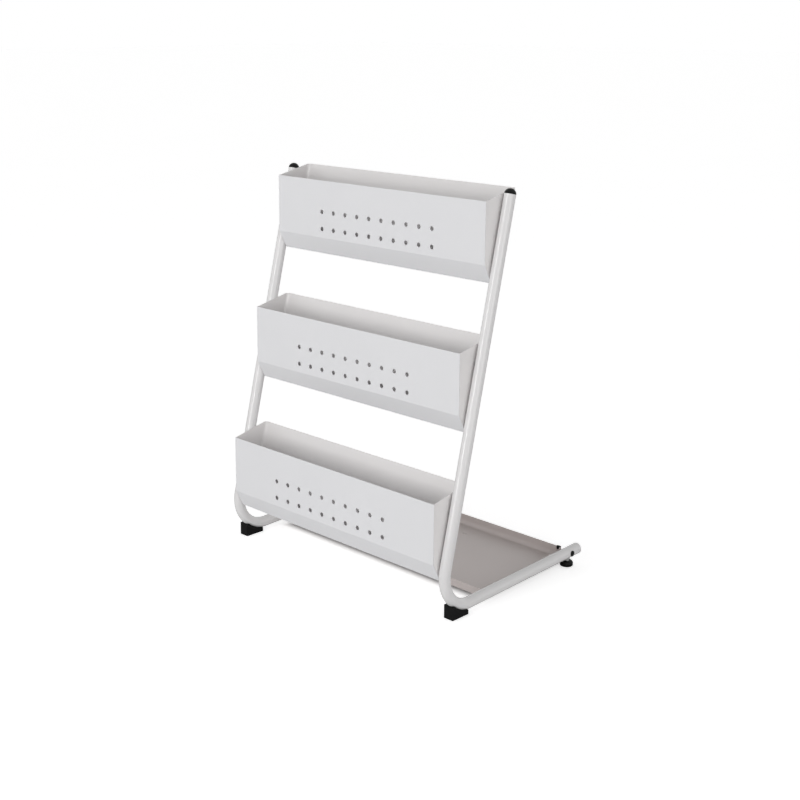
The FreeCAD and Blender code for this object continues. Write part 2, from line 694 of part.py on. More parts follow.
def make_rear_feet():
    """Adjustable foot: round black glide on a threaded stud, in a boss welded into the leg."""
    at_glide = {"x": SIDE_X, "y": GLIDE_Y}
    body = new_body("GlidePuck")
    circle = new_sketch(body, "GlideCircle", "XY_Plane")
    draw_circle(circle, "0", "0", "glide_diameter")
    puck = add_pad(body, circle, "glide_height", side="One side")
    height = measure("glide_height")
    lower = add_fillet(body, puck, lambda point: abs(point.z) < NEAR, "glide_base_edge")
    add_fillet(body, lower, lambda point: abs(point.z - height) < NEAR, "glide_top_edge")
    bind(body, "Placement.Base.x", SIDE_X)
    bind(body, "Placement.Base.y", GLIDE_Y)
    stud_hole = cylinder("StudHole", "stud_diameter + 2 * running_gap", "glide_height",
                         z="stud_seat", **at_glide)
    keep_pair(cut("RearFoot", body, stud_hole), "rear_foot")
    stud = cylinder("FootStud", "stud_diameter", "stud_length", z="stud_seat", **at_glide)
    keep_pair(stud, "foot_stud")
    boss = cylinder("BossBlank", "boss_diameter", "boss_height", z=BOSS_Z, **at_glide)
    thread = cylinder("BossThread", "stud_diameter + 2 * running_gap", "boss_height",
                      z=BOSS_Z, **at_glide)
    keep_pair(cut("FootBoss", boss, thread), "foot_boss")


make_side_frames()
for number, pocket in enumerate(POCKETS):
    make_pocket_shell(pocket, number)
    make_pocket_front(pocket, number)
make_tray()
make_edge_clips()
make_fasteners()
make_tube_ends()
make_side_plugs()
make_front_feet()
make_rear_feet()
doc.recompute()

failed = [thing.Label for thing in doc.Objects if {"Invalid", "Error"} & set(thing.State)]
failed += [thing.Label for thing in kept if thing.Shape.isNull() or not thing.Shape.isValid()]
if failed:
    raise RuntimeError("failed objects: " + ", ".join(failed))

os.makedirs("parts", exist_ok=True)
for thing in kept:
    thing.Shape.exportStep(os.path.join("parts", thing.Label + ".step"))
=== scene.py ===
from math import asin, atan2, cos, pi, radians, sin, sqrt, tan

import bmesh
import bpy
from mathutils import Matrix, Vector


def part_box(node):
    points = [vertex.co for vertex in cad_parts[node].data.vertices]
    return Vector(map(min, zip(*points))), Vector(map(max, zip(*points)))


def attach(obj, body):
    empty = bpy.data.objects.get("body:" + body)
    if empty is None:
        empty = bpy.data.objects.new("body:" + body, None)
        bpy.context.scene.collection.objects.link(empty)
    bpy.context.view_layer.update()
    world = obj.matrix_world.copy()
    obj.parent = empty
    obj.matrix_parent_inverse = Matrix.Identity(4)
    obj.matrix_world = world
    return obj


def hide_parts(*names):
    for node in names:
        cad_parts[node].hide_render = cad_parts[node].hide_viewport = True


# Sizes are millimetres in the rack's own frame: +Z up, front towards -Y, and the origin in
# the middle of the footprint on the floor. Only the last section's are metres.

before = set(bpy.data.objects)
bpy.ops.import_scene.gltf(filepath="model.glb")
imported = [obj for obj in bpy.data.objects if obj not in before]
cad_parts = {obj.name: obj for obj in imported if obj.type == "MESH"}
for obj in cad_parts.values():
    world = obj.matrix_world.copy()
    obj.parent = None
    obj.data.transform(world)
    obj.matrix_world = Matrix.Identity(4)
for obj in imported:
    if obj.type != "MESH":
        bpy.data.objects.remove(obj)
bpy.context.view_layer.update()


# ---------------------------------------------------------------------------
# Side frames
# Two steel tubes, each bent once into an upright and a leg. They are degreased,
# sprayed with off-white powder and baked, which leaves a smooth, glossy coat.
# ---------------------------------------------------------------------------

MM = 0.001
NEAR = 0.001
SIDES = {"left": -1, "right": 1}

OVERALL_DEPTH = 384.4
TUBE_SPACING = 526.0
SIDE_X = TUBE_SPACING / 2
CORNER_HEIGHT = 12.5
LEAN = radians(13.5)
RISE = radians(1.8)
TUBE_RADIUS = 10.0
TUBE_WALL = 1.5
BEND_RADIUS = 60.0
UPRIGHT_LENGTH = 704.5
LOWEST_LEVEL = 197.5
FRONT_REACH = 45.9
CAP_DOME = 5.0
CORNER_Y = FRONT_REACH - OVERALL_DEPTH / 2 - LOWEST_LEVEL * sin(LEAN)
LEG_RUN = (OVERALL_DEPTH / 2 - CORNER_Y) / cos(RISE) - CAP_DOME
BEND_STEPS = 40
TURN_STEPS = 48
TUBE_END_ROUND = 0.4
TUBE_END_ANGLE = radians(60)
EDGE_ANGLE = radians(30)
EDGE_STEPS = 2
SMOOTH_ANGLE = radians(35)

# Tones and roughnesses run from low to high. The scale of a texture is per metre.
TUBE_TONES = ((0.745, 0.735, 0.735), (0.775, 0.765, 0.765))
TUBE_ROUGHNESS = (0.07, 0.12)
TUBE_RIPPLE = 0.08
PAINT_SHINE = 0.6
PAINT_DRIFT_SCALE = 6.0
RIPPLE_SCALE = 160.0
SPECK_SCALE = 1400.0
SPECK_SHARE = 0.1
FULL_RELIEF = 0.1


def on_leg(along, off=0.0):
    """(y, z) of a point on a leg's axis, back from the crossing of the axes, or above it."""
    y = CORNER_Y + along * cos(RISE) - off * sin(RISE)
    z = CORNER_HEIGHT + along * sin(RISE) + off * cos(RISE)
    return y, z


def on_upright(along):
    """(y, z) of a point on an upright's axis, up from the crossing of the axes."""
    return CORNER_Y + along * sin(LEAN), CORNER_HEIGHT + along * cos(LEAN)


def rounded(corners, radius, steps):
    """A path of straight runs in a plane, with each inner corner turned into an arc."""
    path = [Vector(corners[0])]
    for before, corner, after in zip(corners, corners[1:], corners[2:]):
        corner = Vector(corner)
        back = (Vector(before) - corner).normalized()
        ahead = (Vector(after) - corner).normalized()
        half = back.angle(ahead) / 2
        centre = corner + (back + ahead).normalized() * radius / sin(half)
        start = corner + back * radius / tan(half) - centre
        end = corner + ahead * radius / tan(half) - centre
        sweep = pi - 2 * half
        for step in range(steps + 1):
            share = step / steps
            arm = start * sin((1 - share) * sweep) + end * sin(share * sweep)
            path.append(centre + arm / sin(sweep))
    path.append(Vector(corners[-1]))
    return path


def skin(build, rings, joined=False, capped=False):
    """Quads between rings of as many points each; a ring is a list of points."""
    loops = [[build.verts.new(point) for point in ring] for ring in rings]
    pairs = list(zip(loops, loops[1:])) + ([(loops[-1], loops[0])] if joined else [])
    for lower, upper in pairs:
        for index in range(len(lower)):
            following = (index + 1) % len(lower)
            build.faces.new((lower[index], lower[following], upper[following], upper[index]))
    if capped:
        build.faces.new(reversed(loops[0]))
        build.faces.new(loops[-1])


def round_edges(piece, width, angle=EDGE_ANGLE):
    """Break the edges of a piece and keep the shading of its flat faces flat."""
    bevel = piece.modifiers.new("edges", "BEVEL")
    bevel.width = width * MM
    bevel.segments = EDGE_STEPS
    bevel.limit_method = "ANGLE"
    bevel.angle_limit = angle
    piece.modifiers.new("normals", "WEIGHTED_NORMAL").keep_sharp = True


def make_piece(name, build, material, body, node):
    """An object from a mesh in millimetres, riding on a body in the place of a CAD node."""
    bmesh.ops.remove_doubles(build, verts=build.verts, dist=NEAR)
    bmesh.ops.recalc_face_normals(build, faces=build.faces)
    bmesh.ops.scale(build, vec=(MM, MM, MM), verts=build.verts)
    mesh = bpy.data.meshes.new(name)
    build.to_mesh(mesh)
    build.free()
    mesh.polygons.foreach_set("use_smooth", [True] * len(mesh.polygons))
    mesh.set_sharp_from_angle(angle=SMOOTH_ANGLE)
    mesh.materials.append(material)
    piece = bpy.data.objects.new(name, mesh)
    bpy.context.scene.collection.objects.link(piece)
    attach(piece, body)
    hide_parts(node)
    return piece


def set_inputs(node, values):
    """Set a shader node's inputs by their names, in which _ stands for a space."""
    for name, value in values.items():
        node.inputs[name.replace("_", " ")].default_value = value


def add_node(tree, kind, **values):
    """A shader node with some of its inputs set."""
    node = tree.nodes.new(kind)
    set_inputs(node, values)
    return node


def place_group(tree, group, **values):
    """A shader node group in a tree, with its inputs set."""
    node = tree.nodes.new("ShaderNodeGroup")
    node.node_tree = group
    set_inputs(node, values)
    return node


def new_group(name, inputs, outputs):
    """An empty node group with its input and output nodes; sockets are (name, kind) pairs."""
    tree = bpy.data.node_groups.new(name, "ShaderNodeTree")
    for way, sockets in (("INPUT", inputs), ("OUTPUT", outputs)):
        for label, kind in sockets:
            tree.interface.new_socket(label, in_out=way, socket_type="NodeSocket" + kind)
    return tree, tree.nodes.new("NodeGroupInput"), tree.nodes.new("NodeGroupOutput")


def blend_colours(tree, factor, low, high):
    """A mix of two colours; the factor and the colours are sockets."""
    mix = tree.nodes.new("ShaderNodeMix")
    mix.data_type = "RGBA"
    first, second = (socket for socket in mix.inputs if socket.type == "RGBA")
    tree.links.new(factor, mix.inputs["Factor"])
    tree.links.new(low, first)
    tree.links.new(high, second)
    return next(socket for socket in mix.outputs if socket.type == "RGBA")


def make_mottle_group():
    """Uneven tone and roughness, each between two values; the mask rises with both."""
    inputs = [("Scale", "Float"), ("Detail", "Float"), ("Dark Tone", "Color"),
              ("Light Tone", "Color"), ("Smooth", "Float"), ("Rough", "Float")]
    outputs = [("Color", "Color"), ("Roughness", "Float"), ("Mask", "Float")]
    tree, given, result = new_group("Mottle", inputs, outputs)
    place = tree.nodes.new("ShaderNodeTexCoord")
    drift = tree.nodes.new("ShaderNodeTexNoise")
    tree.links.new(place.outputs["Object"], drift.inputs["Vector"])
    tree.links.new(given.outputs["Scale"], drift.inputs["Scale"])
    tree.links.new(given.outputs["Detail"], drift.inputs["Detail"])
    mask = drift.outputs["Fac"]
    tone = blend_colours(tree, mask, given.outputs["Dark Tone"], given.outputs["Light Tone"])
    gloss = tree.nodes.new("ShaderNodeMapRange")
    tree.links.new(mask, gloss.inputs["Value"])
    tree.links.new(given.outputs["Smooth"], gloss.inputs["To Min"])
    tree.links.new(given.outputs["Rough"], gloss.inputs["To Max"])
    tree.links.new(tone, result.inputs["Color"])
    tree.links.new(gloss.outputs["Result"], result.inputs["Roughness"])
    tree.links.new(mask, result.inputs["Mask"])
    return tree


def make_film_group():
    """Height of a baked powder film: a slow ripple and a share of fine specks."""
    tree, given, result = new_group("Powder film", [("Specks", "Float")], [("Height", "Float")])
    place = tree.nodes.new("ShaderNodeTexCoord")
    ripple = add_node(tree, "ShaderNodeTexNoise", Scale=RIPPLE_SCALE, Detail=2.0)
    specks = add_node(tree, "ShaderNodeTexNoise", Scale=SPECK_SCALE, Detail=1.0)
    for texture in (ripple, specks):
        tree.links.new(place.outputs["Object"], texture.inputs["Vector"])
    height = tree.nodes.new("ShaderNodeMath")
    height.operation = "MULTIPLY_ADD"
    for number, value in enumerate((specks.outputs["Fac"], given.outputs["Specks"],
                                    ripple.outputs["Fac"])):
        tree.links.new(value, height.inputs[number])
    tree.links.new(height.outputs["Value"], result.inputs["Height"])
    return tree


def mottled(name, tones, roughness, scale, detail=3.0, shine=0.5):
    """A material with an uneven tone and roughness."""
    material = bpy.data.materials.new(name)
    material.use_nodes = True
    tree = material.node_tree
    shader = tree.nodes["Principled BSDF"]
    shader.inputs["Specular IOR Level"].default_value = shine
    dark, light = tones
    smooth, rough = roughness
    mottle = place_group(tree, MOTTLE, Scale=scale, Detail=detail, Dark_Tone=(*dark, 1.0),
                         Light_Tone=(*light, 1.0), Smooth=smooth, Rough=rough)
    mottle.name = "Mottle"
    tree.links.new(mottle.outputs["Color"], shader.inputs["Base Color"])
    tree.links.new(mottle.outputs["Roughness"], shader.inputs["Roughness"])
    return material


def add_relief(material, height, strength):
    """Let a height, a socket in a material's tree, tilt the shading of its surface."""
    tree = material.node_tree
    bump = add_node(tree, "ShaderNodeBump", Strength=strength, Distance=FULL_RELIEF * MM)
    tree.links.new(height, bump.inputs["Height"])
    tree.links.new(bump.outputs["Normal"], tree.nodes["Principled BSDF"].inputs["Normal"])


def paint(name, tones, roughness, ripple):
    """Powder-coated steel, with so much ripple in its film."""
    material = mottled(name, tones, roughness, PAINT_DRIFT_SCALE, shine=PAINT_SHINE)
    film = place_group(material.node_tree, FILM, Specks=SPECK_SHARE)
    add_relief(material, film.outputs["Height"], ripple)
    return material


def make_side_frame(side, sign, material):
    """Sweep the tube's round wall, outside and inside, along its bent axis."""
    corners = [on_leg(LEG_RUN), on_leg(0), on_upright(UPRIGHT_LENGTH)]
    axis = rounded(corners, BEND_RADIUS, BEND_STEPS)
    runs = [(after - before).normalized() for before, after in zip(axis, axis[1:])]
    turns = [(one + other).normalized() for one, other in zip(runs, runs[1:])]
    stations = list(zip(axis, [runs[0], *turns, runs[-1]]))
    around = [2 * pi * step / TURN_STEPS for step in range(TURN_STEPS)]

    def ring(station, radius):
        spot, way = station
        return [(sign * SIDE_X + radius * cos(angle),
                 spot.x + way.y * radius * sin(angle),
                 spot.y - way.x * radius * sin(angle)) for angle in around]

    outer = [ring(station, TUBE_RADIUS) for station in stations]
    inner = [ring(station, TUBE_RADIUS - TUBE_WALL) for station in reversed(stations)]
    build = bmesh.new()
    skin(build, outer + inner, joined=True)
    piece = make_piece(f"{side}_tube", build, material, "rack", f"{side}_side_frame")
    round_edges(piece, TUBE_END_ROUND, TUBE_END_ANGLE)


MOTTLE = make_mottle_group()
FILM = make_film_group()
TUBE_COAT = paint("Tube coat", TUBE_TONES, TUBE_ROUGHNESS, TUBE_RIPPLE)

for side, sign in SIDES.items():
    make_side_frame(side, sign, TUBE_COAT)


# ---------------------------------------------------------------------------
# Pocket shells
# Each is one sheet, cut and folded into two side panels, a leaning back panel
# and a floor. The back corners are rolled wide, the floor is folded tight.
# ---------------------------------------------------------------------------

SHEET = 1.2
RIVET_FLANGE = 1.0
PANEL_X = SIDE_X - TUBE_RADIUS - RIVET_FLANGE
BACK_REACH = 27.8
FRONT_HEIGHT = 104.8
CHAMFER_RUN = 16.7
CHAMFER_DROP = 32.5
CHAMFER = atan2(CHAMFER_RUN, CHAMFER_DROP)
POCKET_FOOT = -FRONT_HEIGHT - CHAMFER_DROP
SHELL_FLOOR = POCKET_FOOT + SHEET
SIDE_RISE = 15.4
BACK_BEND = 6.0
BACK_BEND_STEPS = 8
FLOOR_FOLD = 1.6
TIGHT_FOLD_STEPS = 3
SHEET_EDGE = 0.4
PLACE_BY_POCKET = {name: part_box(f"{name}_pocket_front") for name in ("top", "middle", "bottom")}

POCKET_TONES = ((0.81, 0.79, 0.785), (0.84, 0.82, 0.815))
POCKET_ROUGHNESS = (0.16, 0.26)
POCKET_RIPPLE = 0.1


def hang(build, name):
    """Move a mesh from a pocket's own frame, at the top edge of its front panel, to its place."""
    low, high = PLACE_BY_POCKET[name]
    bmesh.ops.translate(build, vec=(0, low.y / MM, high.z / MM), verts=build.verts)


def face_outwards(piece, way):
    """Turn an open surface so that its largest face square to a direction looks that way."""
    mesh = piece.data
    chosen = max(mesh.polygons, key=lambda face: face.area * abs(face.normal.dot(way)))
    if chosen.normal.dot(way) < 0:
        mesh.flip_normals()


def thicken(piece):
    """Give an outer surface the thickness of the sheet, inwards, and break its edges."""
    solid = piece.modifiers.new("sheet", "SOLIDIFY")
    solid.thickness = SHEET * MM
    solid.offset = -1
    solid.use_even_offset = True
    round_edges(piece, SHEET_EDGE)


def fold(build, is_folded, radius, steps):
    """Round the edges whose two ends pass a test."""
    edges = [edge for edge in build.edges if len(edge.link_faces) == 2
             and is_folded(edge.verts[0].co) and is_folded(edge.verts[1].co)]
    bmesh.ops.bevel(build, geom=edges, offset=radius, segments=steps, profile=0.5,
                    affect="EDGES", clamp_overlap=True)


def back_plane(height):
    """Y of the back panel's outer face at a height in the pocket."""
    return FRONT_REACH + BACK_REACH / cos(LEAN) + height * tan(LEAN)


def draw_shell_side(build, sign):
    """A side panel and the rolled corner behind it.

    Returns its points along the floor, from the front, and its last two, on the back panel.
    """
    foot_y = CHAMFER_RUN + SHEET * tan(pi / 4 - CHAMFER / 2)
    knee = SHEET * tan(CHAMFER / 2) - FRONT_HEIGHT
    columns = []
    for step in range(BACK_BEND_STEPS + 1):
        turn = pi / 2 * step / BACK_BEND_STEPS
        x = sign * (PANEL_X - BACK_BEND * (1 - cos(turn)))
        inset = BACK_BEND * (1 - sin(turn)) / cos(LEAN)
        columns.append([build.verts.new((x, back_plane(level) - inset, level))
                        for level in (SHELL_FLOOR, SIDE_RISE)])
    outline = [(SHEET, 0), (SHEET, knee), (foot_y, SHELL_FLOOR)]
    front = [build.verts.new((sign * PANEL_X, y, z)) for y, z in outline]
    build.faces.new(front + columns[0])
    for one, other in zip(columns, columns[1:]):
        build.faces.new((one[0], other[0], other[1], one[1]))
    return [front[2]] + [column[0] for column in columns], columns[-1]


def make_shell(name, material):
    """Draw the outer surface of the folded sheet and give it its thickness."""
    build = bmesh.new()
    right_floor, right_back = draw_shell_side(build, 1)
    left_floor, left_back = draw_shell_side(build, -1)
    build.faces.new((right_back[0], left_back[0], left_back[1], right_back[1]))
    build.faces.new(right_floor + left_floor[::-1])
    bmesh.ops.recalc_face_normals(build, faces=build.faces)
    fold(build, lambda point: abs(point.z - SHELL_FLOOR) < NEAR, FLOOR_FOLD, TIGHT_FOLD_STEPS)
    hang(build, name)
    piece = make_piece(f"{name}_shell", build, material, "rack", f"{name}_pocket_shell")
    face_outwards(piece, Vector((0, 0, -1)))
    thicken(piece)


POCKET_COAT = paint("Pocket coat", POCKET_TONES, POCKET_ROUGHNESS, POCKET_RIPPLE)

for name in PLACE_BY_POCKET:
    make_shell(name, POCKET_COAT)


# ---------------------------------------------------------------------------
# Pocket fronts
# A second sheet closes each pocket: an upright panel punched with two rows of
# round holes, a band folded back below it and a lip spot-welded to the floor.
# ---------------------------------------------------------------------------

HOLE_COLUMNS = 10
HOLE_ROWS = 2
HOLE_PITCH = 30.0
ROW_PITCH = 31.5
HOLE_DROP = 57.3
HOLE_RADIUS = 4.0
HOLE_STEPS = 24
FIELD_EDGE = 12.0
FIELD_REACH = HOLE_COLUMNS * HOLE_PITCH / 2
FIELD_TOP = FIELD_EDGE - HOLE_DROP
FIELD_BOTTOM = -HOLE_DROP - (HOLE_ROWS - 1) * ROW_PITCH - FIELD_EDGE
FLOOR_LAP = 12.0
FRONT_FOLD = 2.4
FRONT_FOLD_STEPS = 4

FRONT_TONES = ((0.755, 0.755, 0.77), (0.785, 0.785, 0.80))
FRONT_ROUGHNESS = (0.28, 0.4)
FRONT_RIPPLE = 0.15


def punch_cell(build, centre_x, centre_z, above, below):
    """A rectangle of sheet round one hole, in quads that fan out from the hole.

    Where two neighbours on its border lie on different sides, a triangle fills the corner.
    """
    circle = []
    border = []
    for step in range(HOLE_STEPS):
        turn = 2 * pi * (step + 0.5) / HOLE_STEPS
        across, up = cos(turn), sin(turn)
        reach = min(HOLE_PITCH / 2 / abs(across), (above if up > 0 else below) / abs(up))
        for points, arm in ((circle, HOLE_RADIUS), (border, reach)):
            points.append(build.verts.new((centre_x + arm * across, 0, centre_z + arm * up)))
    for index in range(HOLE_STEPS):
        following = (index + 1) % HOLE_STEPS
        build.faces.new((circle[index], circle[following], border[following], border[index]))
        one, other = border[index].co, border[following].co
        if abs(one.x - other.x) > NEAR and abs(one.z - other.z) > NEAR:
            corner_x = max(one.x, other.x, key=lambda x: abs(x - centre_x))
            corner_z = max(one.z, other.z, key=lambda z: abs(z - centre_z))
            corner = build.verts.new((corner_x, 0, corner_z))
            build.faces.new((border[index], border[following], corner))


def punch_field(build):
    """The part of the panel that holds the holes, one cell to a hole."""
    for row in range(HOLE_ROWS):
        above = FIELD_EDGE if row == 0 else ROW_PITCH / 2
        below = FIELD_EDGE if row == HOLE_ROWS - 1 else ROW_PITCH / 2
        for column in range(HOLE_COLUMNS):
            across = (column + 0.5) * HOLE_PITCH - FIELD_REACH
            punch_cell(build, across, -HOLE_DROP - row * ROW_PITCH, above, below)
    bmesh.ops.remove_doubles(build, verts=build.verts, dist=NEAR)


def lay_strip(build, across, rows):
    """Quads over a strip of sheet: across are X values, rows are (y, z) pairs down the sheet."""
    lines = [[build.verts.new((x, y, z)) for x in across] for y, z in rows]
    for upper, lower in zip(lines, lines[1:]):
        for index in range(len(across) - 1):
            build.faces.new((upper[index], upper[index + 1], lower[index + 1], lower[index]))


def make_front(name, material):
    """Draw the outer surface round the field of holes, point to point with its border."""
    build = bmesh.new()
    punch_field(build)
    spots = [vert.co.copy() for vert in build.verts]
    columns = sorted(spot.x for spot in spots if abs(spot.z - FIELD_TOP) < NEAR)
    columns = [-PANEL_X] + columns + [PANEL_X]
    levels = sorted((spot.z for spot in spots if abs(spot.x - FIELD_REACH) < NEAR), reverse=True)
    profile = rounded([(0, 0), (0, -FRONT_HEIGHT), (CHAMFER_RUN, POCKET_FOOT),
                       (CHAMFER_RUN + FLOOR_LAP, POCKET_FOOT)], FRONT_FOLD, FRONT_FOLD_STEPS)
    lay_strip(build, columns, [(0, 0), (0, FIELD_TOP)])
    lay_strip(build, columns, [(0, FIELD_BOTTOM)] + profile[1:])
    for sign in SIDES.values():
        lay_strip(build, (sign * FIELD_REACH, sign * PANEL_X), [(0, level) for level in levels])
    hang(build, name)
    piece = make_piece(f"{name}_front", build, material, "rack", f"{name}_pocket_front")
    face_outwards(piece, Vector((0, -1, 0)))
    thicken(piece)


FRONT_COAT = paint("Front coat", FRONT_TONES, FRONT_ROUGHNESS, FRONT_RIPPLE)

for name in PLACE_BY_POCKET:
    make_front(name, FRONT_COAT)


# ---------------------------------------------------------------------------
# Base tray
# A shallow pan folded from sheet and screwed between the legs. Its side and
# front flanges stand low and the rear one a little taller, over a wide fold.
# ---------------------------------------------------------------------------

TRAY_LENGTH = 227.0
TRAY_SETBACK = 32.0
TRAY_FRONT = LEG_RUN - TRAY_SETBACK - TRAY_LENGTH
FLANGE_HEIGHT = 15.0
REAR_HEIGHT = 19.0
REAR_STEP = REAR_HEIGHT - FLANGE_HEIGHT
REAR_FOLD = 9.0
REAR_FOLD_STEPS = 8
PAN_FOLD = 2.4
DRAIN_RADIUS = 1.7
DRAIN_PITCH = 7.0
DRAIN_REACH = 53.5
DRAIN_INSET = 40.0
DRAIN_STEPS = 16

# Painted shade: the tray has the same off-white powder coat as the rest of the rack, and these
# darker tones stand in for the shade of the pockets above it.
TRAY_SHADED_TONES = ((0.53, 0.474, 0.456), (0.60, 0.546, 0.528))
TRAY_ROUGHNESS = (0.3, 0.45)
TRAY_RIPPLE = 0.2


def lay_on_leg(build, along, off):
    """Move a mesh drawn with Y along the leg and Z square to it onto the legs."""
    lift = Matrix.Rotation(RISE, 3, "X")
    bmesh.ops.rotate(build, cent=(0, 0, 0), matrix=lift, verts=build.verts)
    bmesh.ops.translate(build, vec=(0, *on_leg(along, off)), verts=build.verts)


def draw_pan(build):
    """The tray's outer surface, with its floor, its four flanges and the folds between."""
    outline = [(0, 0), (TRAY_LENGTH, 0), (TRAY_LENGTH, REAR_HEIGHT),
               (TRAY_LENGTH - REAR_STEP, REAR_HEIGHT),
               (TRAY_LENGTH - 2 * REAR_STEP, FLANGE_HEIGHT), (0, FLANGE_HEIGHT)]
    right, left = ([build.verts.new((sign * PANEL_X, y, z)) for y, z in outline]
                   for sign in (1, -1))
    build.faces.new(right)
    build.faces.new(left[::-1])
    for start, end in ((0, 1), (1, 2), (5, 0)):
        build.faces.new((right[start], left[start], left[end], right[end]))
    bmesh.ops.recalc_face_normals(build, faces=build.faces)
    fold(build, lambda point: abs(point.y - TRAY_LENGTH) < NEAR and abs(point.z) < NEAR,
         REAR_FOLD, REAR_FOLD_STEPS)
    fold(build, lambda point: abs(point.y) < NEAR and abs(point.z) < NEAR,
         PAN_FOLD, TIGHT_FOLD_STEPS)
    fold(build, lambda point: abs(abs(point.x) - PANEL_X) < NEAR, PAN_FOLD, TIGHT_FOLD_STEPS)


def draw_ring(build, centre, radius, steps):
    """The edges of a flat circle."""
    turns = [2 * pi * step / steps for step in range(steps)]
    verts = [build.verts.new(centre + Vector((radius * cos(turn), radius * sin(turn), 0)))
             for turn in turns]
    return [build.edges.new(pair) for pair in zip(verts, verts[1:] + verts[:1])]


def drill_drains(build):
    """Fill the pan's floor, its largest face, anew round two pairs of drain holes."""
    floor = max(build.faces, key=lambda face: face.calc_area())
    rim = list(floor.edges)
    bmesh.ops.delete(build, geom=[floor], context="FACES_ONLY")
    for sign in SIDES.values():
        for shift in (-DRAIN_PITCH / 2, DRAIN_PITCH / 2):
            centre = Vector((sign * DRAIN_REACH + shift, TRAY_LENGTH - DRAIN_INSET, 0))
            rim += draw_ring(build, centre, DRAIN_RADIUS, DRAIN_STEPS)
    bmesh.ops.triangle_fill(build, edges=rim, use_beauty=True)


def make_tray(material):
    """Draw the pan, drill it and lay it between the legs."""
    build = bmesh.new()
    draw_pan(build)
    drill_drains(build)
    lay_on_leg(build, TRAY_FRONT, -TUBE_RADIUS)
    piece = make_piece("tray", build, material, "rack", "base_tray")
    face_outwards(piece, Vector((0, 0, -1)))
    thicken(piece)


# The tray's coat carries painted shade in its darker tones.
TRAY_SHADED_COAT = paint("Tray coat with painted shade", TRAY_SHADED_TONES, TRAY_ROUGHNESS, TRAY_RIPPLE)
make_tray(TRAY_SHADED_COAT)


# ---------------------------------------------------------------------------
# Plugs and caps
# Black domed plugs, moulded in polypropylene, close the uprights. Domed caps
# in the tube's colour close the legs, and a small black plug sits in each side.
# ---------------------------------------------------------------------------

PLUG_PLAY = 0.05
BORE_RADIUS = TUBE_RADIUS - TUBE_WALL - PLUG_PLAY
PLUG_DEPTH = 16.0
PLUG_RIM = 1.5
PLUG_DOME = 8.0
CAP_DEPTH = 12.0
BUTTON_RADIUS = 5.25
BUTTON_RIM = 0.48
BUTTON_DOME = 0.72
BUTTON_SETBACK = 26.5
BUTTON_SUNK = TUBE_RADIUS - sqrt(TUBE_RADIUS ** 2 - BUTTON_RADIUS ** 2)
DOME_STEPS = 10
BUTTON_STEPS = 6

PLASTIC_TONES = ((0.003, 0.003, 0.003), (0.006, 0.006, 0.006))
PLASTIC_ROUGHNESS = (0.35, 0.5)
PLASTIC_GRAIN_SCALE = 900.0
MOULDED_SHINE = 0.15
GRAIN_RELIEF = 0.3


def dome(radius, height, start, steps):
    """Profile points (radius, height) of a spherical cap that stands on a level."""
    ball = (radius * radius + height * height) / (2 * height)
    lowest = asin((ball - height) / ball)
    levels = [lowest + (pi / 2 - lowest) * step / steps for step in range(steps)]
    return [(ball * cos(level), start + height - ball + ball * sin(level)) for level in levels]


def turned(build, profile, place, way):
    """A closed solid from (radius, height) pairs, spun round a line through a place.

    A radius is a number, or a function of the angle where the solid isn't round.
    """
    turn = Vector((0, 0, 1)).rotation_difference(Vector(way)).to_matrix()
    rings = []
    for radius, height in profile:
        ring = []
        for step in range(TURN_STEPS):
            angle = 2 * pi * step / TURN_STEPS
            reach = radius(angle) if callable(radius) else radius
            point = Vector((reach * cos(angle), reach * sin(angle), height))
            ring.append(turn @ point + Vector(place))
        rings.append(ring)
    skin(build, rings, capped=True)


def moulded(name, tones, roughness, scale):
    """Moulded plastic or rubber, whose fine grain shows in its tone and its surface."""
    material = mottled(name, tones, roughness, scale, shine=MOULDED_SHINE)
    grain = material.node_tree.nodes["Mottle"].outputs["Mask"]
    add_relief(material, grain, GRAIN_RELIEF)
    return material


def make_plug(side, sign, material):
    """A plug in the upper end of an upright, with a rim as wide as the tube."""
    build = bmesh.new()
    profile = [(BORE_RADIUS, -PLUG_DEPTH), (BORE_RADIUS, 0), (TUBE_RADIUS, 0)]
    profile += dome(TUBE_RADIUS, PLUG_DOME, PLUG_RIM, DOME_STEPS)
    spot = (sign * SIDE_X, *on_upright(UPRIGHT_LENGTH))
    turned(build, profile, spot, (0, sin(LEAN), cos(LEAN)))
    make_piece(f"{side}_plug", build, material, "rack", f"{side}_top_plug")


def make_cap(side, sign, material):
    """A cap in the rear end of a leg."""
    build = bmesh.new()
    profile = [(BORE_RADIUS, -CAP_DEPTH), (BORE_RADIUS, 0)]
    profile += dome(TUBE_RADIUS, CAP_DOME, 0, DOME_STEPS)
    spot = (sign * SIDE_X, *on_leg(LEG_RUN))
    turned(build, profile, spot, (0, cos(RISE), sin(RISE)))
    make_piece(f"{side}_cap", build, material, "rack", f"{side}_leg_cap")


def make_button(side, sign, material):
    """A small plug in the outer side of a leg, sunk to where the tube falls away from it."""
    build = bmesh.new()
    profile = [(BUTTON_RADIUS, -BUTTON_SUNK)]
    profile += dome(BUTTON_RADIUS, BUTTON_DOME, BUTTON_RIM, BUTTON_STEPS)
    spot = (sign * (SIDE_X + TUBE_RADIUS), *on_leg(LEG_RUN - BUTTON_SETBACK))
    turned(build, profile, spot, (sign, 0, 0))
    make_piece(f"{side}_button", build, material, "rack", f"{side}_leg_side_plug")


PLASTIC = moulded("Black plastic", PLASTIC_TONES, PLASTIC_ROUGHNESS, PLASTIC_GRAIN_SCALE)

for side, sign in SIDES.items():
    make_plug(side, sign, PLASTIC)
    make_cap(side, sign, TUBE_COAT)
    make_button(side, sign, PLASTIC)


# ---------------------------------------------------------------------------
# Screws
# Zinc-plated button-head screws with a hexagon socket hold each pocket and the
# tray to rivet nuts in the tubes. Only their heads show, inside the panels.
# ---------------------------------------------------------------------------

